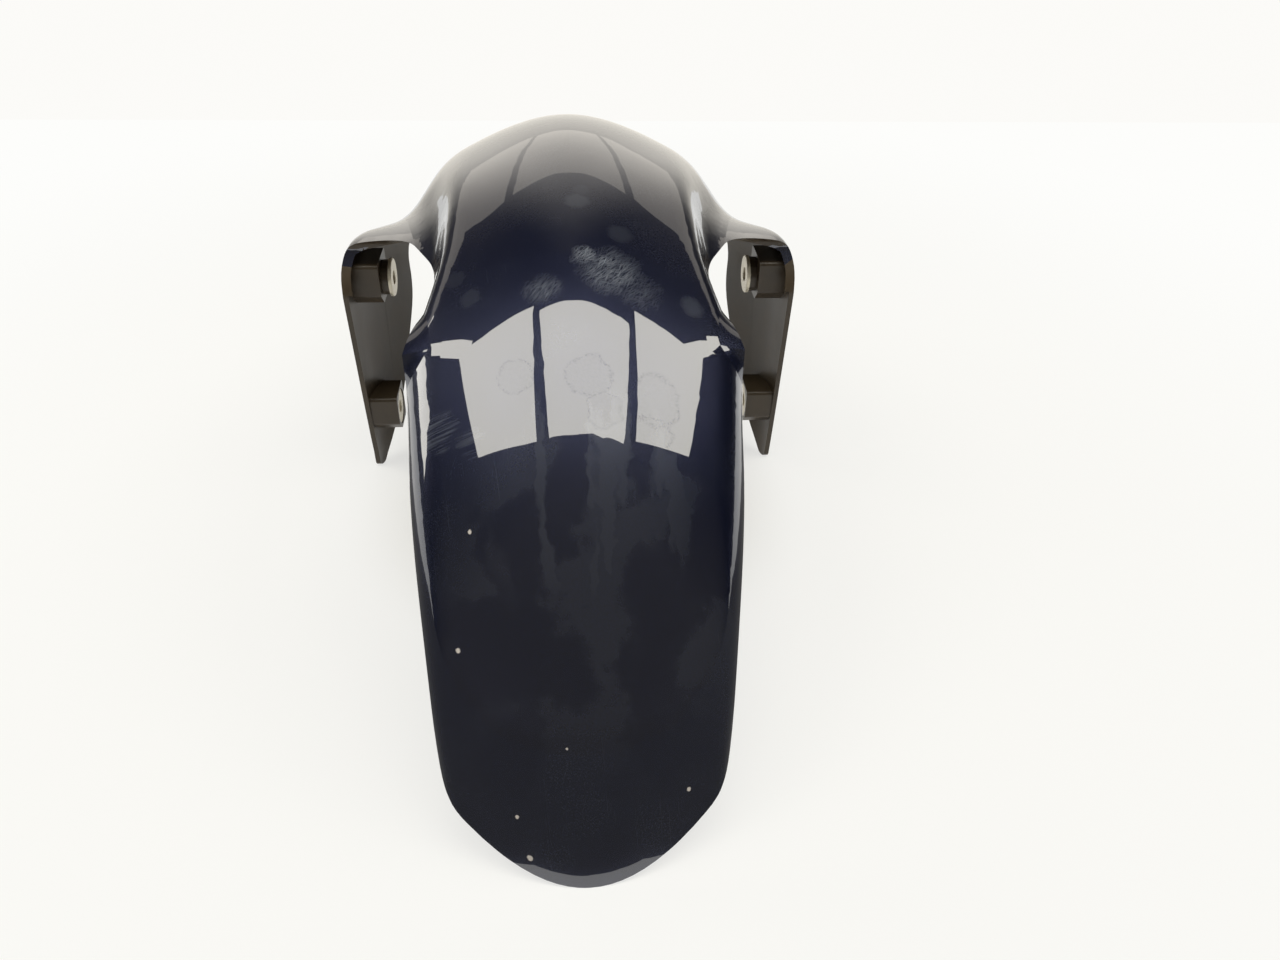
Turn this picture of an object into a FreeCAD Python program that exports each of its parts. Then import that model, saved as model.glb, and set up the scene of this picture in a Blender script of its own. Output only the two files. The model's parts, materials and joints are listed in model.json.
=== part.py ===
import FreeCAD, Part
import math
import os
import Sketcher
from FreeCAD import Placement, Rotation, Vector

doc = FreeCAD.newDocument("front_fender")

# Driving sizes in millimetres and degrees
SIZES = [
    ("wheel_arc", 318.0, "outer radius of the crown about the wheel axle"),
    ("axle_depth", 97.5, "wheel axle below the floor that the fender stands on"),
    ("wall", 3.0, "moulded wall"),
    ("crown_arc", 80.0, "radius of the crown across the fender"),
    ("flank_slope", 34.0, "slope that the flanks tend to beside the crown"),
    ("blade_width", 152.0, "width over the side corners of the blade"),
    ("waist_width", 124.0, "width over the side corners between the fork legs"),
    ("tail_width", 156.0, "width over the side corners behind the fork legs"),
    ("cheek_width", 268.0, "width over the cheeks at their shoulders"),
    ("cheek_foot_width", 265.0, "width over the cheeks at their tips"),
    ("shelf_drop", 54.0, "crown to the inner side of the shoulders"),
    ("tail_angle", 48.0, "end of the tail behind the vertical"),
    ("tip_rise", 35.0, "height of the side corners of the blade tip"),
    ("notch_drop", 52.5, "crown to the side edge beside a fork leg"),
    ("step_reach", 79.5, "side step from the centre plane"),
    ("step_drop", 39.0, "crown to the foot of the side step"),
    ("step_flare", 2.2, "lift of the outer end of the side step"),
    ("lip_depth", 2.6, "return lip of a mouth below the wall"),
    ("lip_thick", 2.2, "thickness of that lip, along each axis of the side view"),
    ("cheek_tip_y", 13.2, "cheek tips behind the axle"),
    ("cheek_tip_radius", 4.0, "round of a cheek tip"),
    ("collar_flange", 23.0, "flange diameter of a collar"),
    ("collar_flange_thick", 2.0, "flange thickness of a collar"),
    ("collar_sleeve", 12.0, "sleeve diameter of a collar"),
    ("collar_bore", 8.2, "bore of a collar"),
    ("collar_length", 8.0, "sleeve length of a collar"),
    ("collar_edge", 0.5, "bevel on the edges of a collar"),
    ("collar_fit", 0.1, "hole over sleeve"),
    ("pocket_width", 17.0, "bolt head pocket in the outside of a cheek"),
    ("upper_seat_depth", 24.0, "seat of the upper collars inside the cheek shoulders"),
    ("upper_boss_y", 28.0, "upper bosses behind the axle"),
    ("upper_boss_z", 128.0, "upper bosses above the floor"),
    ("upper_boss_height", 27.0, "height of an upper boss block"),
    ("upper_boss_depth", 29.0, "fore and aft size of an upper boss block"),
    ("neck_width", 21.0, "round neck of an upper boss"),
    ("neck_length", 4.5, "length of that neck"),
    ("lower_seat_depth", 16.5, "seat of the lower collars inside the cheek tips"),
    ("lower_boss_y", 20.8, "lower bosses behind the axle"),
    ("lower_boss_z", 40.0, "lower bosses above the floor"),
    ("lower_boss_height", 26.0, "height of a lower boss block"),
    ("lower_boss_depth", 26.0, "fore and aft size of a lower boss block"),
    ("lower_rim", 2.6, "rim of a lower boss block round its collar flange"),
    ("boss_bevel", 7.0, "bevel on the lower front edge of a boss block"),
    ("boss_round", 2.5, "rounded edges of a boss block"),
]
sheet = doc.addObject("Spreadsheet::Sheet", "Sizes")
for row, (name, value, note) in enumerate(SIZES, 1):
    sheet.set("A%d" % row, note)
    sheet.set("B%d" % row, str(value))
    sheet.setAlias("B%d" % row, name)
doc.recompute()


def size(name):
    return float(sheet.get(name))


def bound(thing, prop, formula):
    thing.setExpression(prop, formula)


# The shell is drawn about the wheel axle, y = 0, and moved at the end so that the origin
# lies on the floor under the middle of its length
MIDDLE = ("(sqrt(Sizes.wheel_arc ^ 2 - Sizes.axle_depth ^ 2)"
          " - Sizes.wheel_arc * sin(Sizes.tail_angle * 1 deg)) / 2")
ARC = size("wheel_arc")
AXLE = -size("axle_depth")
HIGH = ARC + AXLE
WALL = size("wall")
CROWN = size("crown_arc")
SLOPE = math.tan(math.radians(size("flank_slope")))
ROOF = CROWN * SLOPE ** 2
CROWN_EDGE = 0.45 * CROWN
BLADE = size("blade_width") / 2
WAIST = size("waist_width") / 2
TAIL = size("tail_width") / 2
CHEEK = size("cheek_width") / 2
FOOT = size("cheek_foot_width") / 2
SHELF = size("shelf_drop")
TAIL_END = -size("tail_angle")


def flank_drop(x):
    # the roof of a section is a hyperbola: round at the crown and nearly straight down the flanks
    return math.hypot(SLOPE * x, ROOF) - ROOF


def flank_slope(x):
    return SLOPE ** 2 * x / (flank_drop(x) + ROOF)


def roof(start, end, count):
    # points of the roof between two distances from the centre plane
    reach = [start + (end - start) * k / count for k in range(count + 1)]
    return [(x, flank_drop(x)) for x in reach]


def in_wheel_plane(x, drop, angle):
    # angle is ahead of the vertical, drop is inward from the crown
    r = ARC - drop
    a = math.radians(angle)
    return Vector(x, -r * math.sin(a), AXLE + r * math.cos(a))


# One station: angle, side corner x, corner length, foot (x, drop), shoulder (x, drop), hem (x, drop)
def blade_station(angle, side, length):
    run = 0.17
    below = [SHELF + k for k in (1, 28, 51)]
    return (angle, side, length) + tuple((side + run * (d - flank_drop(side)), d) for d in below)


# Stations of the side step: its top, the middle of its lip and where it runs out into the waist
STEP_TOP, STEP_LIP, STEP_END = 27, 25, 20
STATIONS = [
    blade_station(74, BLADE - 18, 7),
    blade_station(70, BLADE - 16.5, 7),
    blade_station(66, BLADE - 15, 7),
    blade_station(62.4, BLADE - 13, 8),
    blade_station(59, BLADE - 11, 9),
    blade_station(52.4, BLADE - 8, 11),
    blade_station(45.4, BLADE - 4.8, 13),
    blade_station(37.8, BLADE - 2, 14),
    blade_station(31, BLADE + 0.2, 13),
    (STEP_TOP, WAIST + 13.5, 12, (WAIST + 23, SHELF + 3), (WAIST + 27, SHELF + 29),
     (WAIST + 29, HIGH - 114)),
    (STEP_LIP, WAIST + 11.5, 11, (WAIST + 22, SHELF + 4), (WAIST + 29, SHELF + 30),
     (WAIST + 31, HIGH - 112)),
    (STEP_END, WAIST + 5.5, 10, (WAIST + 17, SHELF + 6), (WAIST + 36, SHELF + 31),
     (WAIST + 39, HIGH - 104)),
    (15, WAIST + 0.7, 9, (WAIST + 13.5, SHELF + 3), (WAIST + 50, SHELF + 30), (WAIST + 52, HIGH - 88)),
    (10, WAIST, 9, (WAIST + 12, SHELF - 1), (CHEEK - 8, SHELF + 27), (CHEEK - 9, HIGH - 60)),
    (5, WAIST + 0.5, 9, (WAIST + 13, SHELF - 3), (CHEEK - 1, SHELF + 21), (FOOT + 0.5, HIGH - 25)),
    (0, WAIST + 2.5, 11, (WAIST + 18, SHELF - 1), (CHEEK + 0.5, SHELF + 15), (FOOT + 1, HIGH + 2)),
    (-8, WAIST + 8, 14, (WAIST + 28, SHELF + 3), (CHEEK - 1, SHELF + 12), (FOOT - 1, HIGH + 10)),
    (-15, TAIL - 2, 15, (WAIST + 38, SHELF + 6), (CHEEK - 9, SHELF + 18), (FOOT - 11, HIGH + 5)),
    (-22, TAIL, 15, (WAIST + 41, SHELF + 9), (CHEEK - 21, SHELF + 25), (FOOT - 25, HIGH - 10)),
    (-30, TAIL, 13, (WAIST + 36, SHELF + 9), (CHEEK - 32, SHELF + 34), (FOOT - 36, HIGH - 40)),
    (0.8 * TAIL_END, TAIL - 1, 12, (TAIL + 13, SHELF + 6), (TAIL + 17, SHELF + 34), (TAIL + 18, HIGH - 75)),
    (0.9 * TAIL_END, TAIL - 2.5, 11, (TAIL + 9.5, SHELF + 4), (TAIL + 12.5, SHELF + 32),
     (TAIL + 13, HIGH - 92)),
    (TAIL_END, TAIL - 4.5, 11, (TAIL + 7, SHELF + 3), (TAIL + 9.5, SHELF + 31), (TAIL + 10, HIGH - 100)),
]


def toward(a, b, length):
    span = math.hypot(b[0] - a[0], b[1] - a[1])
    return (a[0] + (b[0] - a[0]) * length / span, a[1] + (b[1] - a[1]) * length / span)


def rounded(a, corner, b):
    # both halves of a rounded corner
    points = []
    for k in range(13):
        t = k / 12
        u, v, w = (1 - t) ** 2, 2 * t * (1 - t), t * t
        points.append((u * a[0] + v * corner[0] + w * b[0], u * a[1] + v * corner[1] + w * b[1]))
    return points[:7], points[6:]


def spaced(points, count):
    # the same line as a number of evenly spaced points, without its start
    reach = [0.0]
    for p, q in zip(points, points[1:]):
        reach.append(reach[-1] + math.hypot(q[0] - p[0], q[1] - p[1]))
    made = []
    k = 0
    for step in range(1, count + 1):
        goal = reach[-1] * step / count
        while k < len(reach) - 2 and reach[k + 1] < goal:
            k += 1
        t = (goal - reach[k]) / (reach[k + 1] - reach[k])
        p, q = points[k], points[k + 1]
        made.append((p[0] + (q[0] - p[0]) * t, p[1] + (q[1] - p[1]) * t))
    return made


# Points of half a section: crown, flank, side, shelf and panel
CROWN_STEPS = 8
FLANK_STEPS = 8
SIDE_STEPS = 9
SHELF_STEPS = 12
PANEL_STEPS = 16
HOLLOW = 15
BEND = 14


def half_section(station):
    angle, side, length, foot, shoulder, hem = station
    crown = roof(0, CROWN_EDGE, CROWN_STEPS)
    flank = roof(CROWN_EDGE, side - length * math.cos(math.atan(flank_slope(side))), 2 * FLANK_STEPS)
    start = flank[-1]
    corner = (side, start[1] + flank_slope(start[0]) * (side - start[0]))
    side_in, side_out = rounded(start, corner, toward(corner, foot, length))
    shelf = math.hypot(shoulder[0] - foot[0], shoulder[1] - foot[1])
    hollow, bend = min(HOLLOW, 0.45 * shelf), min(BEND, 0.45 * shelf)
    foot_in, foot_out = rounded(toward(foot, corner, hollow), foot, toward(foot, shoulder, hollow))
    top_in, top_out = rounded(toward(shoulder, foot, bend), shoulder, toward(shoulder, hem, bend))
    points = list(crown)
    points += spaced(flank + side_in[1:], FLANK_STEPS)
    points += spaced(side_out + foot_in, SIDE_STEPS)
    points += spaced(foot_out + top_in, SHELF_STEPS)
    points += spaced(top_out + [hem], PANEL_STEPS)
    return points


def full_section(station):
    half = half_section(station)
    return [(-x, d) for x, d in reversed(half[1:])] + half


def inset(section, depth):
    # the same section moved inward, square to its own line
    moved = []
    last = len(section) - 1
    for k, (x, d) in enumerate(section):
        a = section[max(k - 1, 0)]
        b = section[min(k + 1, last)]
        tx, td = b[0] - a[0], b[1] - a[1]
        n = math.hypot(tx, td)
        moved.append((x - depth * td / n, d + depth * tx / n))
    return moved


def surface(stations, sections):
    grid = []
    for station, section in zip(stations, sections):
        grid.append([in_wheel_plane(x, d, station[0]) for x, d in section])
    made = Part.BSplineSurface()
    made.interpolate(grid)
    return made


ROWS = 4
COLUMNS = 8


def patches(made):
    # the surface as a few joined pieces, split at its own knots
    u, v = made.getUKnots(), made.getVKnots()
    u_cuts = [u[len(u) * k // ROWS] for k in range(ROWS)] + [u[-1]]
    v_cuts = [v[len(v) * k // COLUMNS] for k in range(COLUMNS)] + [v[-1]]
    grid = []
    for u1, u2 in zip(u_cuts, u_cuts[1:]):
        line = []
        for v1, v2 in zip(v_cuts, v_cuts[1:]):
            piece = made.copy()
            piece.segment(u1, u2, v1, v2)
            line.append(piece)
        grid.append(line)
    return grid


def skin_solid(top, bottom):
    sections = [full_section(s) for s in STATIONS]
    outer = patches(surface(STATIONS, [inset(s, top) for s in sections]))
    inner = patches(surface(STATIONS, [inset(s, bottom) for s in sections]))
    faces = [piece.toShape() for grid in (outer, inner) for line in grid for piece in line]
    for row, end in ((0, 0), (-1, 1)):
        for pair in zip(outer[row], inner[row]):
            rims = [p.uIso(p.bounds()[end]).toShape() for p in pair]
            faces.append(Part.makeRuledSurface(*rims))
    for column, end in ((0, 2), (-1, 3)):
        for pair in zip(outer, inner):
            rims = [line[column].vIso(line[column].bounds()[end]).toShape() for line in pair]
            faces.append(Part.makeRuledSurface(*rims))
    shell = Part.Shell(faces)
    shell.sewShape(0.001)
    solid = Part.Solid(shell)
    if solid.Volume < 0:
        solid.reverse()
    return solid


def feature(label, shape):
    made = doc.addObject("Part::Feature", label)
    made.Shape = shape
    return made


def boolean(kind, label, base, tool):
    made = doc.addObject(kind, label)
    made.Base = base
    made.Tool = tool
    return made


def fused(label, shapes):
    made = doc.addObject("Part::MultiFuse", label)
    made.Shapes = shapes
    return made


def mirrored(source, label):
    made = doc.addObject("Part::Mirroring", label)
    made.Source = source
    made.Normal = Vector(1, 0, 0)
    return made


def spline(points):
    curve = Part.BSplineCurve()
    curve.interpolate(points)
    return curve.toShape()


skin = feature("skin", skin_solid(0.0, WALL))

# Side step in front of each fork notch: a raised lip that starts with a bevelled front
# and runs out into the waist
STEP = size("step_reach")
STEP_DROP = size("step_drop")
STEP_FLARE = size("step_flare")
STEP_POINTS = 8
SUNK = 0.8
STEP_FRONT = 30


def step_section(angle, station, reach, lift):
    half = [p for p in half_section(station) if p[0] > CROWN_EDGE + 15 and p[1] < STEP_DROP]
    sunk = spaced(inset(half, SUNK), STEP_POINTS)
    under = spaced(inset(half, 0.7 * WALL), STEP_POINTS)
    first = sunk[0][0]
    top = []
    for k, (x, d) in enumerate(sunk):
        share = k / (STEP_POINTS - 1)
        flat = first + (reach - first) * share
        raised = flank_drop(flat) + SUNK * (1 - share) - STEP_FLARE * share ** 2
        top.append((x + (flat - x) * lift, d + (raised - d) * lift))
    a = [in_wheel_plane(x, d, angle) for x, d in top]
    b = [in_wheel_plane(x, d, angle) for x, d in under]
    return Part.Wire([spline(a), Part.makeLine(a[-1], b[-1]), spline(b[::-1]), Part.makeLine(b[0], a[0])])


by_angle = {s[0]: s for s in STATIONS}
step_foot = step_section(STEP_FRONT, by_angle[STEP_TOP], STEP, 0.0)
step_top = step_section(STEP_TOP, by_angle[STEP_TOP], STEP, 1.0)
step_lip = step_section(STEP_LIP, by_angle[STEP_LIP], STEP - 1.5, 0.8)
step_end = step_section(STEP_END, by_angle[STEP_END], STEP - 8, 0.0)
step_front = Part.makeLoft([step_foot, step_top], True, True)
step_back = Part.makeLoft([step_top, step_lip, step_end], True, False)
right_step = feature("right_step", step_front.fuse(step_back))
left_step = mirrored(right_step, "left_step")

# Side outline of all the cut edges, seen square to the centre plane
TIP_Y = -math.sqrt(ARC ** 2 - AXLE ** 2)
NOTCH = HIGH - size("notch_drop")
RISE = size("tip_rise")
TIP_LEAN = 0.86


def at(y, z):
    return Vector(0, y, z)


def edge_point(angle, drop):
    p = in_wheel_plane(0, drop, angle)
    return at(p.y, p.z)


tip_end = at(TIP_Y + 0.85 * RISE, 0.85 * RISE * TIP_LEAN)
notch_start = at(-119, NOTCH - 6)
blade_line = [tip_end, at(TIP_Y + 1.15 * RISE, RISE), edge_point(59, 25.5), edge_point(45.4, 35),
              edge_point(31, STEP_DROP), notch_start]
fork_line = [notch_start, at(-97, NOTCH), at(-60, NOTCH + 1), at(-25, NOTCH - 2), at(2, NOTCH - 6),
             at(15, NOTCH - 15), at(8, NOTCH - 28), at(1.5, NOTCH - 44)]
TIP_R = size("cheek_tip_radius")
cheek_tip = at(size("cheek_tip_y"), TIP_R)


def on_cheek_tip(degrees):
    a = math.radians(degrees)
    return cheek_tip + Vector(0, TIP_R * math.cos(a), TIP_R * math.sin(a))


rear_line = [on_cheek_tip(-35), at(29, 19), at(44, 40), at(66, 73), at(83, 97), at(93, HIGH - 98),
             at(112, HIGH - 77), edge_point(TAIL_END + 14, SHELF - 8), edge_point(TAIL_END - 2, SHELF - 10)]
OUTSIDE = 200
front_low = at(TIP_Y - 40, -40 * TIP_LEAN)
back_low = at(ARC + 100, rear_line[-1].z - 160)
corners = [rear_line[-1], back_low, at(back_low.y, -2 * OUTSIDE), at(front_low.y, -2 * OUTSIDE), front_low,
           tip_end]
outline = [spline(blade_line), spline(fork_line), Part.makeLine(fork_line[-1], on_cheek_tip(175))]
outline.append(Part.Arc(on_cheek_tip(175), on_cheek_tip(-90), on_cheek_tip(-35)).toShape())
outline.append(spline(rear_line))
outline += [Part.makeLine(a, b) for a, b in zip(corners, corners[1:])]
side_outline = feature("side_outline", Part.Wire(outline))


def across(label, source):
    made = doc.addObject("Part::Extrusion", label)
    made.Base = source
    made.DirMode = "Custom"
    made.Dir = Vector(1, 0, 0)
    made.LengthFwd = OUTSIDE
    made.LengthRev = OUTSIDE
    made.Solid = True
    return made


below_edges = across("below_edges", side_outline)

# Return lip of each mouth: a deeper wall just above the cut edge of the arch
deep_skin = feature("deep_skin", skin_solid(WALL / 3, WALL + size("lip_depth")))
lip_outline = feature("lip_outline", Part.Wire(outline))
lip_outline.Placement = Placement(Vector(0, size("lip_thick"), size("lip_thick")), Rotation())
lip_below = across("lip_below", lip_outline)
mouth_room = doc.addObject("Part::Box", "mouth_room")
mouth_room.Length = 2 * OUTSIDE
mouth_room.Width = 70
mouth_room.Height = 60
mouth_room.Placement = Placement(Vector(-OUTSIDE, -25, NOTCH - 40), Rotation())
lip_room = boolean("Part::Common", "lip_room", lip_below, mouth_room)
lips = boolean("Part::Common", "lips", deep_skin, lip_room)

raised_skin = fused("raised_skin", [skin, right_step, left_step, lips])
trimmed = boolean("Part::Cut", "trimmed_skin", raised_skin, below_edges)

# Boss blocks, each kept inside the outer face of its cheek
cheek_stations = [s for s in STATIONS if -31 < s[0] < 11]
cheek_panels = [inset(full_section(s), 0.4 * WALL)[-PANEL_STEPS - 1:] for s in cheek_stations]
cheek_face = surface(cheek_stations, cheek_panels).toShape()
cheek_room = feature("cheek_room", cheek_face.extrude(Vector(-CHEEK / 2, 0, 0)))


def edges_along_x(thing):
    return [k for k, e in enumerate(thing.Shape.Edges, 1) if e.BoundBox.XLength > 30]


def boss(name, inner):
    block = doc.addObject("Part::Box", name + "_block")
    block.Length = 40
    bound(block, "Width", "Sizes.%s_boss_depth * 1 mm" % name)
    bound(block, "Height", "Sizes.%s_boss_height * 1 mm" % name)
    bound(block, "Placement.Base.x", "(%s) * 1 mm" % inner)
    bound(block, "Placement.Base.y", "(Sizes.%s_boss_y - Sizes.%s_boss_depth / 2) * 1 mm" % (name, name))
    bound(block, "Placement.Base.z", "(Sizes.%s_boss_z - Sizes.%s_boss_height / 2) * 1 mm" % (name, name))
    doc.recompute()
    front = min(edges_along_x(block), key=lambda k: sum(block.Shape.Edges[k - 1].CenterOfMass[1:]))
    bevelled = doc.addObject("Part::Chamfer", name + "_bevelled")
    bevelled.Base = block
    bevelled.Edges = [(front, size("boss_bevel"), size("boss_bevel"))]
    doc.recompute()
    soft = doc.addObject("Part::Fillet", name + "_soft")
    soft.Base = bevelled
    soft.Edges = [(k, size("boss_round"), size("boss_round")) for k in edges_along_x(bevelled)]
    return boolean("Part::Common", name + "_kept", soft, cheek_room)


def along_x(label, diameter, start, length, name):
    pin = doc.addObject("Part::Cylinder", label)
    bound(pin, "Radius", "(%s) / 2 * 1 mm" % diameter)
    bound(pin, "Height", "(%s) * 1 mm" % length)
    pin.Placement = Placement(Vector(0, 0, 0), Rotation(Vector(0, 1, 0), 90))
    bound(pin, "Placement.Base.x", "(%s) * 1 mm" % start)
    bound(pin, "Placement.Base.y", "Sizes.%s_boss_y * 1 mm" % name)
    bound(pin, "Placement.Base.z", "Sizes.%s_boss_z * 1 mm" % name)
    return pin


# Seats of the collars from the centre plane
SEATS = {"upper": "(Sizes.cheek_width / 2 - Sizes.upper_seat_depth)",
         "lower": "(Sizes.cheek_foot_width / 2 - Sizes.lower_seat_depth)"}
upper = boss("upper", SEATS["upper"] + " + Sizes.neck_length")
lower = boss("lower", SEATS["lower"] + " - Sizes.lower_rim")
neck = along_x("upper_neck", "Sizes.neck_width", SEATS["upper"], "Sizes.neck_length + 6", "upper")
holes = []
for name in ("upper", "lower"):
    seat = SEATS[name]
    pocket_floor = seat + " + Sizes.collar_length"
    sleeve_hole = "Sizes.collar_sleeve + Sizes.collar_fit"
    holes.append(along_x(name + "_hole", sleeve_hole, seat + " - 5", "Sizes.collar_length + 6", name))
    holes.append(along_x(name + "_pocket", "Sizes.pocket_width", pocket_floor, "40", name))
sink = "Sizes.collar_flange + Sizes.collar_fit"
holes.append(along_x("lower_sink", sink, SEATS["lower"] + " - 10", "10", "lower"))
right_bosses = fused("right_bosses", [upper, lower, neck])
right_holes = fused("right_holes", holes)
left_bosses = mirrored(right_bosses, "left_bosses")
left_holes = mirrored(right_holes, "left_holes")
filled = fused("filled_shell", [trimmed, right_bosses, left_bosses])
all_holes = fused("all_holes", [right_holes, left_holes])
shell = boolean("Part::Cut", "fender_shell", filled, all_holes)
bound(shell, "Placement.Base.y", "(%s) * 1 mm" % MIDDLE)


# Flanged collars, each turned about its own z axis and laid along x in its boss
def collar(label, name, side):
    body = doc.addObject("PartDesign::Body", label)
    sketch = body.newObject("Sketcher::SketchObject", label + "_profile")
    plane = [f for f in body.Origin.OriginFeatures if f.Role == "XZ_Plane"]
    sketch.AttachmentSupport = [(plane[0], "")]
    sketch.MapMode = "FlatFace"
    bore, sleeve, flange = "Sizes.collar_bore / 2", "Sizes.collar_sleeve / 2", "Sizes.collar_flange / 2"
    edge, thick = "Sizes.collar_edge", "Sizes.collar_flange_thick"
    end = thick + " + Sizes.collar_length"
    profile = [
        (bore + " + " + edge, "0"), (flange + " - " + edge, "0"), (flange, edge), (flange, thick),
        (sleeve, thick), (sleeve, end + " - " + edge), (sleeve + " - " + edge, end), (bore, end),
        (bore, edge),
    ]
    count = len(profile)
    start = [Vector(4 + k, 1 + 0.1 * k * k, 0) for k in range(count)]
    for k in range(count):
        sketch.addGeometry(Part.LineSegment(start[k], start[(k + 1) % count]))
    for k in range(count):
        sketch.addConstraint(Sketcher.Constraint("Coincident", k, 2, (k + 1) % count, 1))
    for k, (across_axis, along_axis) in enumerate(profile):
        for kind, formula in (("DistanceX", across_axis), ("DistanceY", along_axis)):
            number = sketch.addConstraint(Sketcher.Constraint(kind, -1, 1, k, 1, 1.0 + k))
            bound(sketch, "Constraints[%d]" % number, "(%s) * 1 mm" % formula)
    turned = body.newObject("PartDesign::Revolution", label + "_turned")
    turned.Profile = sketch
    turned.ReferenceAxis = (sketch, ["V_Axis"])
    turned.Angle = 360
    body.Placement = Placement(Vector(0, 0, 0), Rotation(Vector(0, 1, 0), 90 * side))
    bound(body, "Placement.Base.x", "%d * (%s - Sizes.collar_flange_thick) * 1 mm" % (side, SEATS[name]))
    bound(body, "Placement.Base.y", "(Sizes.%s_boss_y + %s) * 1 mm" % (name, MIDDLE))
    bound(body, "Placement.Base.z", "Sizes.%s_boss_z * 1 mm" % name)
    return body


pieces = [shell]
for name in ("upper", "lower"):
    for side, hand in ((1, "right"), (-1, "left")):
        pieces.append(collar("%s_%s_collar" % (name, hand), name, side))
doc.recompute()

# Every object has to be sound before anything is written
for thing in doc.Objects:
    if "Invalid" in thing.State or "Error" in thing.State:
        raise RuntimeError("%s failed: %s" % (thing.Label, thing.State))
for piece in pieces:
    if piece.Shape.isNull() or not piece.Shape.isValid() or len(piece.Shape.Solids) != 1:
        raise RuntimeError("%s is not one sound solid" % piece.Label)
os.makedirs("parts", exist_ok=True)
for piece in pieces:
    piece.Shape.exportStep("parts/%s.step" % piece.Label)
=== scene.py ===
"""The looks of a motorcycle front fender: lacquered shell, bare moulded inside and zinc plated collars.

Metres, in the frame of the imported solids: +Z up, the blade's tip towards -Y, the wheel plane at X = 0.
"""
import json
import math

import bmesh
import bpy
from mathutils import Matrix, Vector

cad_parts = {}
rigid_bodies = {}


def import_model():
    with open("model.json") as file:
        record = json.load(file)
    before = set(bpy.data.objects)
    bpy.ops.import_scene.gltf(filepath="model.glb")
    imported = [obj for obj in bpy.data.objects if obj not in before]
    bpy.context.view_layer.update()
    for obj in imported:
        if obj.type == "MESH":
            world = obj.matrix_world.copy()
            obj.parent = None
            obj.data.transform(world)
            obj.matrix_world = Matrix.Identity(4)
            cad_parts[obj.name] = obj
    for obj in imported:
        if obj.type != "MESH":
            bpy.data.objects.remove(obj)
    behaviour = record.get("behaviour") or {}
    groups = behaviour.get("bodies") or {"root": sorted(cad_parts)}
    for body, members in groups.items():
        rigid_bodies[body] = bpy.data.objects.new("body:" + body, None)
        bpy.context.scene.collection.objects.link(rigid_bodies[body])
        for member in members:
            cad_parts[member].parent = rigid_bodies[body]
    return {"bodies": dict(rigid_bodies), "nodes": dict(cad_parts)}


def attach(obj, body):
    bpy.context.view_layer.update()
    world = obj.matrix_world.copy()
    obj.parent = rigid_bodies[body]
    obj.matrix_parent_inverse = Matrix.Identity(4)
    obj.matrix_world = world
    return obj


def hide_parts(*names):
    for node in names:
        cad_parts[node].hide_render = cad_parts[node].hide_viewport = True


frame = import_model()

SHELL_NODE = "fender_shell"
COLLAR_NODES = [name for name in frame["nodes"] if name.endswith("_collar")]
MM = 0.001
MERGE_DISTANCE = 0.01 * MM
SMOOTH_ANGLE = math.radians(32)

# The wheel's axle, in the shell's own frame: the arch is round about it
AXLE_Y = 33.2 * MM
AXLE_Z = -97.5 * MM

# Below this height and beyond this width, only faces that look sideways are the outside of a cheek
CHEEK_TOP = 143 * MM
CHEEK_INNER = 95 * MM
CHEEK_SIDEWAYS = 0.3

# The camera: its place, how it is turned, and its focal length in pixels of a 1280 wide frame
CAMERA_PLACE = Vector((-0.00431, -0.49542, 0.38121))
CAMERA_DOWN = 0.63545
CAMERA_YAW = 0.09069
CAMERA_ROLL = 0.02925
FOCAL_PIXELS = 963.945
PHOTO_WIDTH = 1280
SENSOR_WIDTH = 36.0

# Soft light: two rows of panes overhead, and one on the left
ROOF_HEIGHT = 2.0
DAYLIGHT = 3.8
REAR_DAYLIGHT = 0.45
DAYLIGHT_COLOUR = "#fffcf2"
REAR_COLOUR = "#fff7ea"
ROOF_PANES = [
    # name, middle (x, y), width, depth, turn about Z, radiance, colour
    ("left_pane", (-1.45, -0.07), 1.30, 1.17, -0.12, DAYLIGHT, DAYLIGHT_COLOUR),
    ("centre_pane", (0.20, -0.20), 1.64, 1.09, 0.0, DAYLIGHT, DAYLIGHT_COLOUR),
    ("right_pane", (1.79, -0.01), 1.20, 1.20, 0.12, DAYLIGHT, DAYLIGHT_COLOUR),
    ("left_side_pane", (-2.25, 0.81), 1.00, 0.19, 2.51, DAYLIGHT, DAYLIGHT_COLOUR),
    ("right_side_pane", (2.36, 0.83), 1.03, 0.19, 0.71, DAYLIGHT, DAYLIGHT_COLOUR),
    ("rear_left_pane", (-3.14, 5.75), 3.72, 6.50, 0.0, REAR_DAYLIGHT, REAR_COLOUR),
    ("rear_centre_pane", (0.0, 5.75), 2.24, 6.50, 0.0, REAR_DAYLIGHT, REAR_COLOUR),
    ("rear_right_pane", (3.14, 5.75), 3.72, 6.50, 0.0, REAR_DAYLIGHT, REAR_COLOUR),
]
LEFT_WINDOW = (-2.6, 1.04, 1.0)
LEFT_WINDOW_HEIGHT = 1.0
LEFT_WINDOW_WIDTH = 1.52
FACING_RIGHT = (0.0, -math.pi / 2, 0.0)
FRONT_GLOW = 0.11
CEILING_GLOW = 0.015
REAR_GLOW = 0.95
BACKGROUND_WHITE = 0.97

# The pale sheet under the object, and where it goes over into white: distances from the object's middle
TABLE_REACH = 3.0
TABLE_BACK = 0.83
UNDER_OBJECT = 0.05
BESIDE_OBJECT = 0.15
FAR_FROM_OBJECT = 0.9

# Half the folds of a dark card round the front of the blade, which paints a dark reflection into the blade's
# gloss: place and top in millimetres
CARD_FOLDS = [(34.0, -284.0, 60.0), (62.0, -260.0, 60.0), (92.0, -190.0, 95.0), (108.0, -60.0, 125.0)]

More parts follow.
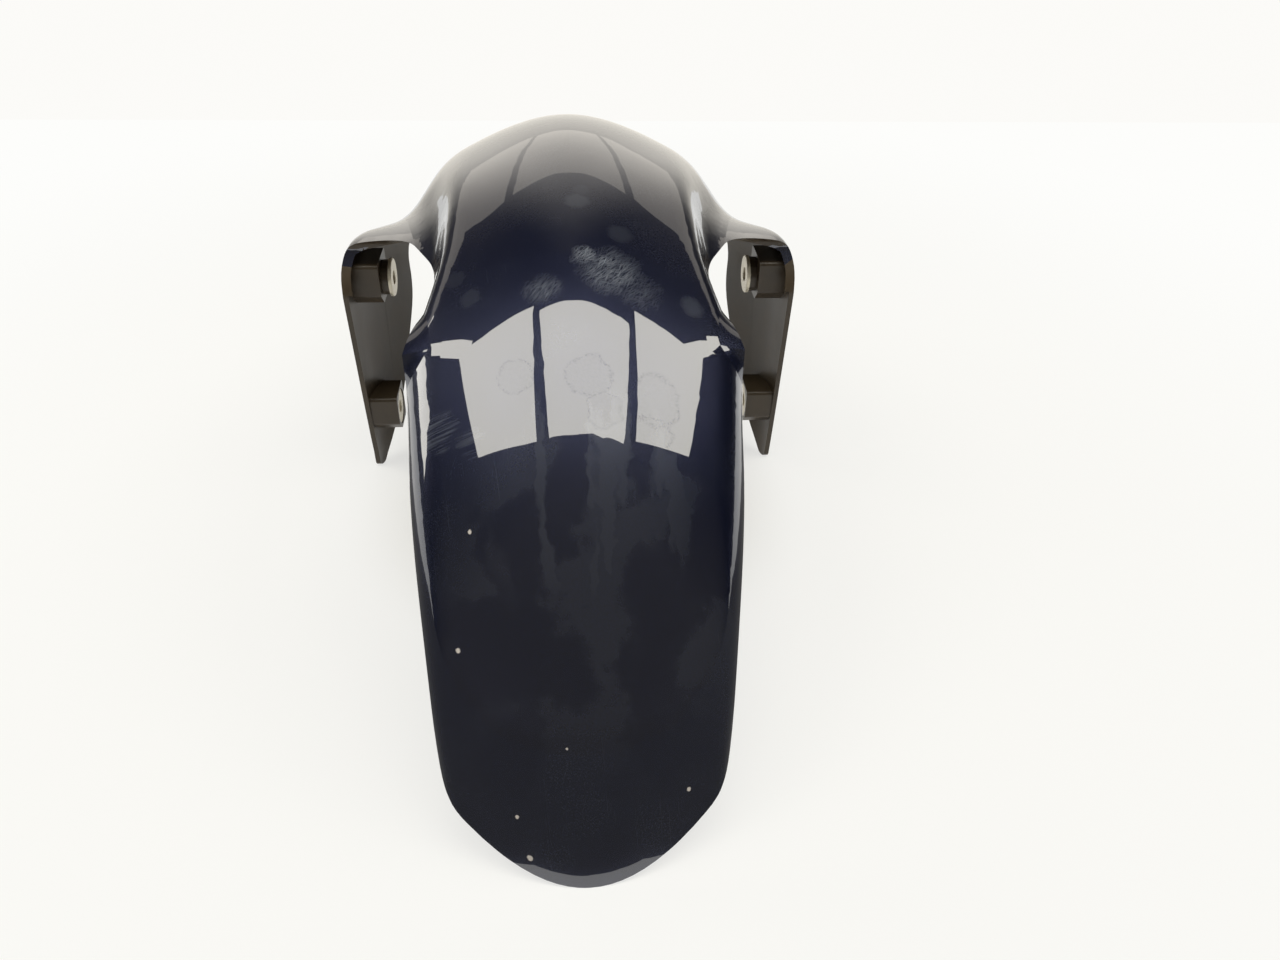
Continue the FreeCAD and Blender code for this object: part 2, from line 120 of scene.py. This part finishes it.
# Round marks on the lacquer: a place on the shell and a radius in millimetres, and a strength
CHIPS = [
    ((-52.4, -210.3, 83.8), 1.3, 1.0), ((-46.4, -179.7, 122.5), 1.2, 1.0), ((-29.6, -253.1, 28.6), 1.1, 1.0),
    ((43.2, -245.9, 32.0), 1.2, 1.0), ((-24.8, -261.5, 11.7), 1.6, 1.0), ((-8.0, -243.2, 58.9), 0.7, 1.0),
]
DULL_SPOTS = [
    ((2.6, -38.7, 212.1), 8.0, 0.09), ((22.4, -59.1, 203.5), 8.0, 0.07), ((54.5, -88.0, 179.0), 8.0, 0.09),
    ((-47.8, -85.8, 184.1), 7.0, 0.05), ((-55.6, -70.8, 186.2), 7.0, 0.04), ((5.3, -29.0, 214.0), 6.0, 0.04),
]
BRUSHED_PATCHES = [
    ((18.0, -85.0, 198.0), 19.0, 0.55), ((5.0, -77.0, 201.0), 8.0, 0.8), ((14.0, -79.0, 200.0), 7.0, 0.8),
    ((-14.0, -95.0, 193.0), 11.0, 0.32), ((30.0, -92.0, 193.0), 16.0, 0.22),
]
WIPED_BANDS = [((-60.0, -140.0, 146.0), 12.0, 0.16), ((-46.0, -150.0, 148.0), 10.0, 0.10)]
DRIED_FILM = [((6.0, -180.0, 138.0), 62.0, 0.07)]
CLOUDED_AREA = [((10.0, -200.0, 110.0), 95.0, 1.0)]
WATER_MARKS = [
    ((-26.7, -131.4, 169.6), 9.0), ((5.5, -135.8, 171.6), 11.0), ((33.5, -140.2, 161.1), 14.0),
    ((11.4, -149.0, 162.1), 9.0), ((30.3, -156.2, 151.1), 12.0),
]
WATER_RING = 0.88

# Fine lines: turn about Z, length and width in millimetres, and the noise at which they start and are full.
# Real ones are finer than a pixel, so they are drawn as wide as shows
POLISH_STROKES = [(-0.75, 6.0, 0.4, 0.44, 0.74), (-0.35, 5.0, 0.4, 0.47, 0.76), (-1.3, 5.0, 0.4, 0.49, 0.78)]
WIPING_STROKES = (1.5, 25.0, 0.8, 0.42, 0.7)
SCRATCHES = [(0.15, 45.0, 0.45, 0.66, 0.76), (-0.5, 30.0, 0.4, 0.68, 0.78)]
WATER_RUNS = (0.0, 70.0, 13.0, 0.5, 0.56)


def srgb(code):
    """A hex colour as the linear colour that a shader takes."""
    channels = [int(code[i:i + 2], 16) / 255 for i in (1, 3, 5)]
    linear = [c / 12.92 if c <= 0.04045 else ((c + 0.055) / 1.055) ** 2.4 for c in channels]
    return (*linear, 1.0)


def per_metre(millimetres):
    """The texture scale at which one feature is that long."""
    return 1.0 / (millimetres * MM)


def in_metres(point):
    """A place in millimetres, in metres."""
    return Vector(point) * MM


def add(tree, kind, links=None, **settings):
    """Adds a node. Settings are its properties, links its inputs: each a value or another node's output."""
    made = tree.nodes.new(kind)
    for name, value in settings.items():
        setattr(made, name, value)
    for name, value in (links or {}).items():
        if isinstance(value, bpy.types.NodeSocket):
            tree.links.new(value, made.inputs[name])
        else:
            made.inputs[name].default_value = value
    return made


def new_material(name):
    """An empty node material: the material, its tree and its output."""
    material = bpy.data.materials.new(name)
    material.use_nodes = True
    tree = material.node_tree
    tree.nodes.clear()
    output = tree.nodes.new("ShaderNodeOutputMaterial")
    return material, tree, output


def wandering(tree, place, size, reach):
    """The place shifted here and there by noise, so that round marks get uneven edges."""
    noise = add(tree, "ShaderNodeTexNoise", {"Vector": place, "Scale": per_metre(size), "Detail": 3.0})
    middle = (0.5, 0.5, 0.5)
    swing = add(tree, "ShaderNodeVectorMath", {0: noise.outputs["Color"], 1: middle}, operation="SUBTRACT")
    shift = add(tree, "ShaderNodeVectorMath", {0: swing.outputs[0], "Scale": reach * MM}, operation="SCALE")
    return add(tree, "ShaderNodeVectorMath", {0: place, 1: shift.outputs[0]}, operation="ADD").outputs[0]


def strongest(tree, masks):
    """One mask from several: the strongest of them at each place."""
    joined = masks[0]
    for mask in masks[1:]:
        joined = add(tree, "ShaderNodeMath", {0: joined, 1: mask}, operation="MAXIMUM").outputs[0]
    return joined


def round_mark(tree, place, point, radius, soft, strength=1.0):
    """A mask that is full round a point and fades out at a radius, both in millimetres."""
    away = add(tree, "ShaderNodeVectorMath", {0: place, 1: in_metres(point)}, operation="DISTANCE")
    return add(tree, "ShaderNodeMapRange", {
        "Value": away.outputs["Value"],
        "From Min": radius * MM,
        "From Max": radius * soft * MM,
        "To Min": 0.0,
        "To Max": strength,
    }, interpolation_type="SMOOTHSTEP").outputs["Result"]


def round_marks(tree, place, marks, soft, texture=None):
    """The strongest of several round marks at each place, broken up by a texture where one is given."""
    masks = [round_mark(tree, place, point, radius, soft, strength) for point, radius, strength in marks]
    joined = strongest(tree, masks)
    if texture is None:
        return joined
    return add(tree, "ShaderNodeMath", {0: joined, 1: texture}, operation="MULTIPLY").outputs[0]


def streaks(tree, place, turn, length, width, low, high):
    """Fine lines of that length and width in millimetres, at a turn about Z: a mask where noise is high."""
    turned = add(tree, "ShaderNodeMapping", {
        "Vector": place, "Rotation": (0.0, 0.0, turn), "Scale": in_metres((width, length, length)),
    }, vector_type="TEXTURE")
    noise = add(tree, "ShaderNodeTexNoise", {"Vector": turned.outputs["Vector"], "Scale": 1.0, "Detail": 2.0})
    return add(tree, "ShaderNodeMapRange", {
        "Value": noise.outputs["Fac"], "From Min": low, "From Max": high,
    }).outputs["Result"]


def navy_metallic_lacquer():
    """Moulded ABS sprayed navy metallic under clear lacquer: nearly black, with sharp panes in its gloss.

    Polish has left a brushed haze and round dull spots, water has dried on it, and stones have chipped it.
    """
    material, tree, output = new_material("navy_metallic_lacquer")
    place = add(tree, "ShaderNodeTexCoord").outputs["Object"]
    uneven = wandering(tree, place, size=9.0, reach=9.0)
    softened = wandering(tree, place, size=2.5, reach=3.5)
    broken = wandering(tree, place, size=1.5, reach=1.2)

    # Real flake and dust are finer than a pixel, so they are drawn as coarse as shows
    flake = add(tree, "ShaderNodeTexNoise", {"Vector": place, "Scale": per_metre(0.9), "Detail": 3.0})
    grain = add(tree, "ShaderNodeTexNoise", {"Vector": place, "Scale": per_metre(0.8), "Detail": 2.0})
    patches = add(tree, "ShaderNodeTexNoise", {"Vector": place, "Scale": per_metre(38), "Detail": 5.0})
    paint = add(tree, "ShaderNodeMix", {
        "Factor": flake.outputs["Fac"], 6: srgb("#060b20"), 7: srgb("#0d1840"),
    }, data_type="RGBA")

    # Haze: brushed patches, wiped bands, dull spots, a dried film and its blots
    strokes = strongest(tree, [streaks(tree, place, *stroke) for stroke in POLISH_STROKES])
    brushed = round_marks(tree, uneven, BRUSHED_PATCHES, 0.25, strokes)
    wiped = round_marks(tree, uneven, WIPED_BANDS, 0.4, streaks(tree, place, *WIPING_STROKES))
    dull = round_marks(tree, softened, DULL_SPOTS, 0.45)
    film = round_marks(tree, uneven, DRIED_FILM, 0.5, streaks(tree, uneven, *WATER_RUNS))
    blots = add(tree, "ShaderNodeMapRange", {
        "Value": patches.outputs["Fac"], "From Min": 0.5, "From Max": 0.58, "To Max": 0.05,
    }, interpolation_type="SMOOTHSTEP")
    clouded = round_marks(tree, uneven, CLOUDED_AREA, 0.4, blots.outputs["Result"])

    # Scratches and dust lie in patches
    handled = add(tree, "ShaderNodeMapRange", {
        "Value": patches.outputs["Fac"], "From Min": 0.45, "From Max": 0.7, "To Max": 0.10,
    })
    lines = strongest(tree, [streaks(tree, place, *scratch) for scratch in SCRATCHES])
    scratched = add(tree, "ShaderNodeMath", {0: lines, 1: handled.outputs["Result"]}, operation="MULTIPLY")
    settled = add(tree, "ShaderNodeMapRange", {
        "Value": patches.outputs["Fac"], "From Min": 0.45, "From Max": 0.7, "To Max": 0.07,
    })
    dust = add(tree, "ShaderNodeMapRange", {
        "Value": grain.outputs["Fac"], "From Min": 0.42, "From Max": 0.78,
    })
    dusty = add(tree, "ShaderNodeMath", {
        0: dust.outputs["Result"], 1: settled.outputs["Result"],
    }, operation="MULTIPLY")
    haze = strongest(tree, [brushed, wiped, dull, film, clouded, scratched.outputs[0], dusty.outputs[0]])
    hazed = add(tree, "ShaderNodeMix", {
        "Factor": haze, 6: paint.outputs[2], 7: srgb("#aeb6c2"),
    }, data_type="RGBA")

    # Bare primer in the chips
    chips = round_marks(tree, broken, CHIPS, 0.6)
    worn = add(tree, "ShaderNodeMix", {
        "Factor": chips, 6: hazed.outputs[2], 7: srgb("#d9d2cc"),
    }, data_type="RGBA")
    metal = add(tree, "ShaderNodeMapRange", {
        "Value": strongest(tree, [haze, chips]), "To Min": 0.6, "To Max": 0.0,
    })

    # Dried water dulls the gloss along broken rings
    rings = []
    for point, radius in WATER_MARKS:
        outer = round_mark(tree, uneven, point, radius, WATER_RING)
        inner = round_mark(tree, uneven, point, radius * WATER_RING, 0.85, 0.8)
        ring = add(tree, "ShaderNodeMath", {0: outer, 1: inner}, operation="SUBTRACT")
        rings.append(ring.outputs[0])
    crumbs = add(tree, "ShaderNodeMapRange", {
        "Value": grain.outputs["Fac"], "From Min": 0.4, "From Max": 0.7, "To Max": 0.3,
    })
    ringed = add(tree, "ShaderNodeMath", {
        0: strongest(tree, rings), 1: crumbs.outputs["Result"],
    }, operation="MULTIPLY")
    dulled = strongest(tree, [ringed.outputs[0], brushed, chips])
    gloss = add(tree, "ShaderNodeMath", {0: 1.0, 1: dulled}, operation="SUBTRACT")

    # Lacquer is near 1.5, and its IOR is raised until the panes are as bright in it as on the object
    shader = add(tree, "ShaderNodeBsdfPrincipled", {
        "Base Color": worn.outputs[2],
        "Metallic": metal.outputs["Result"],
        "Roughness": 0.33,
        "Coat Weight": gloss.outputs[0],
        "Coat Roughness": 0.015,
        "Coat IOR": 2.05,
    })
    tree.links.new(shader.outputs["BSDF"], output.inputs["Surface"])
    return material


def bare_moulded_plastic():
    """Unpainted black ABS from the mould: brown black, satin, with a fine even grain and dust in it."""
    material, tree, output = new_material("bare_moulded_plastic")
    place = add(tree, "ShaderNodeTexCoord").outputs["Object"]
    cloud = add(tree, "ShaderNodeTexNoise", {"Vector": place, "Scale": per_metre(22), "Detail": 5.0})
    colour = add(tree, "ShaderNodeMix", {
        "Factor": cloud.outputs["Fac"], 6: srgb("#2e251b"), 7: srgb("#544837"),
    }, data_type="RGBA")

    # The mould's spark grain is finer than a pixel, so it is drawn as coarse as shows
    grain = add(tree, "ShaderNodeTexNoise", {"Vector": place, "Scale": per_metre(0.9), "Detail": 2.0})
    bump = add(tree, "ShaderNodeBump", {
        "Height": grain.outputs["Fac"], "Strength": 0.2, "Distance": 0.2 * MM,
    })
    rough = add(tree, "ShaderNodeMapRange", {"Value": cloud.outputs["Fac"], "To Min": 0.28, "To Max": 0.48})
    shader = add(tree, "ShaderNodeBsdfPrincipled", {
        "Base Color": colour.outputs[2],
        "Roughness": rough.outputs["Result"],
        "IOR": 1.5,
        "Normal": bump.outputs["Normal"],
    })
    tree.links.new(shader.outputs["BSDF"], output.inputs["Surface"])
    return material


def zinc_plated_steel():
    """Turned steel with a dull yellowish zinc plate: pale, satin, with cloudy passivation."""
    material, tree, output = new_material("zinc_plated_steel")
    place = add(tree, "ShaderNodeTexCoord").outputs["Object"]
    cloud = add(tree, "ShaderNodeTexNoise", {"Vector": place, "Scale": per_metre(4), "Detail": 4.0})
    colour = add(tree, "ShaderNodeMix", {
        "Factor": cloud.outputs["Fac"], 6: srgb("#d8cfb8"), 7: srgb("#f4eee0"),
    }, data_type="RGBA")
    rough = add(tree, "ShaderNodeMapRange", {"Value": cloud.outputs["Fac"], "To Min": 0.32, "To Max": 0.52})
    shader = add(tree, "ShaderNodeBsdfPrincipled", {
        "Base Color": colour.outputs[2],
        "Metallic": 0.45,
        "Roughness": rough.outputs["Result"],
    })
    tree.links.new(shader.outputs["BSDF"], output.inputs["Surface"])
    return material


def pale_laminate():
    """White laminate: plain and pale to the eye and in the gloss, with the object's soft shadow on it.

    Away from the object it goes over into white.
    """
    material, tree, output = new_material("pale_laminate")
    place = add(tree, "ShaderNodeTexCoord").outputs["Object"]
    cloud = add(tree, "ShaderNodeTexNoise", {"Vector": place, "Scale": per_metre(300), "Detail": 3.0})
    colour = add(tree, "ShaderNodeMix", {
        "Factor": cloud.outputs["Fac"], 6: srgb("#f1f1f0"), 7: srgb("#f6f6f4"),
    }, data_type="RGBA")
    matt = add(tree, "ShaderNodeBsdfDiffuse", {"Color": colour.outputs[2]})
    white = add(tree, "ShaderNodeEmission", {"Color": srgb("#fdfdfb"), "Strength": 1.0})
    path = add(tree, "ShaderNodeLightPath")
    rays = ("Is Camera Ray", "Is Glossy Ray", "Is Transmission Ray")
    seen = strongest(tree, [path.outputs[ray] for ray in rays])
    far = add(tree, "ShaderNodeVectorMath", {0: place}, operation="LENGTH").outputs["Value"]
    beside = add(tree, "ShaderNodeMapRange", {
        "Value": far, "From Min": UNDER_OBJECT, "From Max": BESIDE_OBJECT, "To Min": 0.2, "To Max": 0.7,
    }, interpolation_type="SMOOTHSTEP")
    away = add(tree, "ShaderNodeMapRange", {
        "Value": far, "From Min": BESIDE_OBJECT, "From Max": FAR_FROM_OBJECT, "To Min": 0.0, "To Max": 0.3,
    }, interpolation_type="SMOOTHSTEP")
    bleached = add(tree, "ShaderNodeMath", {
        0: beside.outputs["Result"], 1: away.outputs["Result"],
    }, operation="ADD")
    share = add(tree, "ShaderNodeMath", {0: seen, 1: bleached.outputs[0]}, operation="MULTIPLY")
    mixed = add(tree, "ShaderNodeMixShader", {0: share.outputs[0], 1: matt.outputs[0], 2: white.outputs[0]})
    tree.links.new(mixed.outputs[0], output.inputs["Surface"])
    return material


def dark_reflection_card():
    """A dark card that glows as dimly as the front of the surroundings: a painted dark reflection in the
    gloss.
    """
    material, tree, output = new_material("dark_reflection_card")
    shader = add(tree, "ShaderNodeEmission", {"Color": srgb("#fffdfa"), "Strength": FRONT_GLOW})
    tree.links.new(shader.outputs[0], output.inputs["Surface"])
    return material


def only(piece):
    """Selects one piece and nothing else."""
    bpy.ops.object.select_all(action="DESELECT")
    piece.select_set(True)
    bpy.context.view_layer.objects.active = piece


def is_outside(face):
    """True where a face looks away from the wheel: up from the axle, or out to its own side."""
    middle = face.center
    sideways = face.normal.x * math.copysign(1.0, middle.x)
    if middle.z < CHEEK_TOP and abs(middle.x) > CHEEK_INNER:
        return sideways > CHEEK_SIDEWAYS
    outwards = Vector((0.0, middle.y - AXLE_Y, middle.z - AXLE_Z)).normalized()
    return face.normal.dot(outwards) + sideways > 0.0


def lacquered_shell(lacquer, plastic):
    """The moulding: lacquer on the faces that look away from the wheel, bare plastic inside."""
    solid = frame["nodes"][SHELL_NODE]
    shell = bpy.data.objects.new("lacquered_shell", solid.data.copy())
    bpy.context.scene.collection.objects.link(shell)
    only(shell)
    bpy.ops.mesh.customdata_custom_splitnormals_clear()
    bpy.ops.object.mode_set(mode="EDIT")
    bpy.ops.mesh.select_all(action="SELECT")
    bpy.ops.mesh.remove_doubles(threshold=MERGE_DISTANCE)
    bpy.ops.object.mode_set(mode="OBJECT")
    bpy.ops.object.shade_smooth_by_angle(angle=SMOOTH_ANGLE)

    # The gloss follows the solid's own smooth faces
    gloss = shell.modifiers.new("gloss", "DATA_TRANSFER")
    gloss.object = solid
    gloss.use_loop_data = True
    gloss.data_types_loops = {"CUSTOM_NORMAL"}
    gloss.loop_mapping = "TOPOLOGY"
    bpy.ops.object.modifier_apply(modifier="gloss")
    shell.data.materials.clear()
    shell.data.materials.append(lacquer)
    shell.data.materials.append(plastic)
    for face in shell.data.polygons:
        face.material_index = 0 if is_outside(face) else 1
    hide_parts(SHELL_NODE)
    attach(shell, "root")


def table():
    """The pale sheet under the object, cut off straight behind it."""
    bpy.ops.object.select_all(action="DESELECT")
    bpy.ops.mesh.primitive_plane_add(size=2 * TABLE_REACH, location=(0.0, 0.0, 0.0))
    sheet = bpy.context.object
    sheet.name = "table"
    bpy.ops.object.mode_set(mode="EDIT")
    bpy.ops.mesh.select_all(action="SELECT")
    bpy.ops.mesh.bisect(plane_co=(0.0, TABLE_BACK, 0.0), plane_no=(0.0, 1.0, 0.0), clear_outer=True)
    bpy.ops.object.mode_set(mode="OBJECT")
    sheet.data.materials.append(pale_laminate())


def folded_reflection_card():
    """A dark card round the front of the blade, which only the gloss sees: a painted dark reflection on the
    blade's front, where the floor would otherwise show in its gloss.
    """
    folds = [(-x, y, top) for x, y, top in reversed(CARD_FOLDS)] + CARD_FOLDS
    feet = [in_metres((x, y, 0.0)) for x, y, top in folds]
    tops = [in_metres(fold) for fold in folds]
    bpy.ops.object.select_all(action="DESELECT")
    bpy.ops.mesh.primitive_grid_add(x_subdivisions=len(folds) - 1, y_subdivisions=1, location=(0.0, 0.0, 0.0))
    card = bpy.context.object
    card.name = "card"
    bpy.ops.object.mode_set(mode="EDIT")
    mesh = bmesh.from_edit_mesh(card.data)
    corners = sorted(mesh.verts, key=lambda corner: (round(corner.co.y, 3), corner.co.x))
    for corner, place in zip(corners, feet + tops):
        bpy.ops.mesh.select_all(action="DESELECT")
        corner.select = True
        bpy.ops.transform.translate(value=place - corner.co)
    bpy.ops.object.mode_set(mode="OBJECT")
    card.data.materials.append(dark_reflection_card())
    # Seen only in the gloss, where it paints a dark reflection
    card.visible_camera = False
    card.visible_diffuse = False
    card.visible_shadow = False


def pane(name, middle, width, depth, turn, radiance, colour):
    """One pane as a soft lamp of that radiance."""
    light = bpy.data.lights.new(name, "AREA")
    light.shape = "RECTANGLE"
    light.size = width
    light.size_y = depth
    light.energy = radiance * math.pi * width * depth
    light.color = srgb(colour)[:3]
    lamp = bpy.data.objects.new(name, light)
    lamp.location = middle
    lamp.rotation_euler = turn
    lamp.visible_camera = False
    bpy.context.scene.collection.objects.link(lamp)


def surroundings():
    """A dim surround that is paler low down behind the object, and plain white to the camera."""
    world = bpy.data.worlds.new("dim_room")
    bpy.context.scene.world = world
    world.use_nodes = True
    tree = world.node_tree
    tree.nodes.clear()
    towards = add(tree, "ShaderNodeSeparateXYZ", {0: add(tree, "ShaderNodeTexCoord").outputs["Generated"]})
    aside = add(tree, "ShaderNodeMath", {0: towards.outputs["X"]}, operation="ABSOLUTE")
    behind = add(tree, "ShaderNodeMath", {0: towards.outputs["Y"], 1: aside.outputs[0]}, operation="SUBTRACT")
    back = add(tree, "ShaderNodeMapRange", {
        "Value": behind.outputs[0], "From Min": 0.25, "From Max": 0.7,
    }, interpolation_type="SMOOTHSTEP")
    low = add(tree, "ShaderNodeMapRange", {
        "Value": towards.outputs["Z"], "From Min": 0.95, "From Max": 0.15, "To Min": 0.0, "To Max": REAR_GLOW,
    })
    front = add(tree, "ShaderNodeMapRange", {
        "Value": towards.outputs["Y"],
        "From Min": -0.1,
        "From Max": -0.5,
        "To Min": CEILING_GLOW,
        "To Max": FRONT_GLOW,
    })
    glow = add(tree, "ShaderNodeMath", {
        0: back.outputs["Result"], 1: low.outputs["Result"],
    }, operation="MULTIPLY")
    dim = add(tree, "ShaderNodeMath", {0: glow.outputs[0], 1: front.outputs["Result"]}, operation="ADD")
    seen = add(tree, "ShaderNodeLightPath").outputs["Is Camera Ray"]
    strength = add(tree, "ShaderNodeMix", {0: seen, 2: dim.outputs[0], 3: BACKGROUND_WHITE})
    tint = add(tree, "ShaderNodeMix", {
        "Factor": seen, 6: srgb("#fffaef"), 7: srgb("#fffefb"),
    }, data_type="RGBA")
    sky = add(tree, "ShaderNodeBackground", {"Color": tint.outputs[2], "Strength": strength.outputs[0]})
    add(tree, "ShaderNodeOutputWorld", {"Surface": sky.outputs["Background"]})


def daylight():
    """The panes of light overhead and on the left."""
    for name, middle, width, depth, turn, radiance, colour in ROOF_PANES:
        pane(name, (*middle, ROOF_HEIGHT), width, depth, (0.0, 0.0, turn), radiance, colour)
    pane("left_window", LEFT_WINDOW, LEFT_WINDOW_HEIGHT, LEFT_WINDOW_WIDTH, FACING_RIGHT,
         DAYLIGHT, DAYLIGHT_COLOUR)


def camera():
    """The camera: a little left of the middle, looking down on the blade."""
    forward = Vector((
        math.sin(CAMERA_YAW) * math.cos(CAMERA_DOWN),
        math.cos(CAMERA_YAW) * math.cos(CAMERA_DOWN),
        -math.sin(CAMERA_DOWN),
    ))
    level_right = Vector((math.cos(CAMERA_YAW), -math.sin(CAMERA_YAW), 0.0))
    level_up = level_right.cross(forward)
    right = math.cos(CAMERA_ROLL) * level_right + math.sin(CAMERA_ROLL) * level_up
    up = math.cos(CAMERA_ROLL) * level_up - math.sin(CAMERA_ROLL) * level_right
    data = bpy.data.cameras.new("camera")
    data.sensor_width = SENSOR_WIDTH
    data.lens = FOCAL_PIXELS / PHOTO_WIDTH * SENSOR_WIDTH
    eye = bpy.data.objects.new("camera", data)
    turned = Matrix((right, up, -forward)).transposed().to_4x4()
    eye.matrix_world = Matrix.Translation(CAMERA_PLACE) @ turned
    bpy.context.scene.collection.objects.link(eye)
    bpy.context.scene.camera = eye


# What Blender's own start file holds is cleared, and the solids' box is kept
kept = [*frame["nodes"].values(), *frame["bodies"].values()]
for leftover in [o for o in bpy.data.objects if o not in kept]:
    bpy.data.objects.remove(leftover)
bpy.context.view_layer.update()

lacquered_shell(navy_metallic_lacquer(), bare_moulded_plastic())
zinc = zinc_plated_steel()
for name in COLLAR_NODES:
    frame["nodes"][name].material_slots[0].material = zinc

table()
folded_reflection_card()
surroundings()
daylight()
camera()
bpy.context.scene.view_settings.view_transform = "Standard"
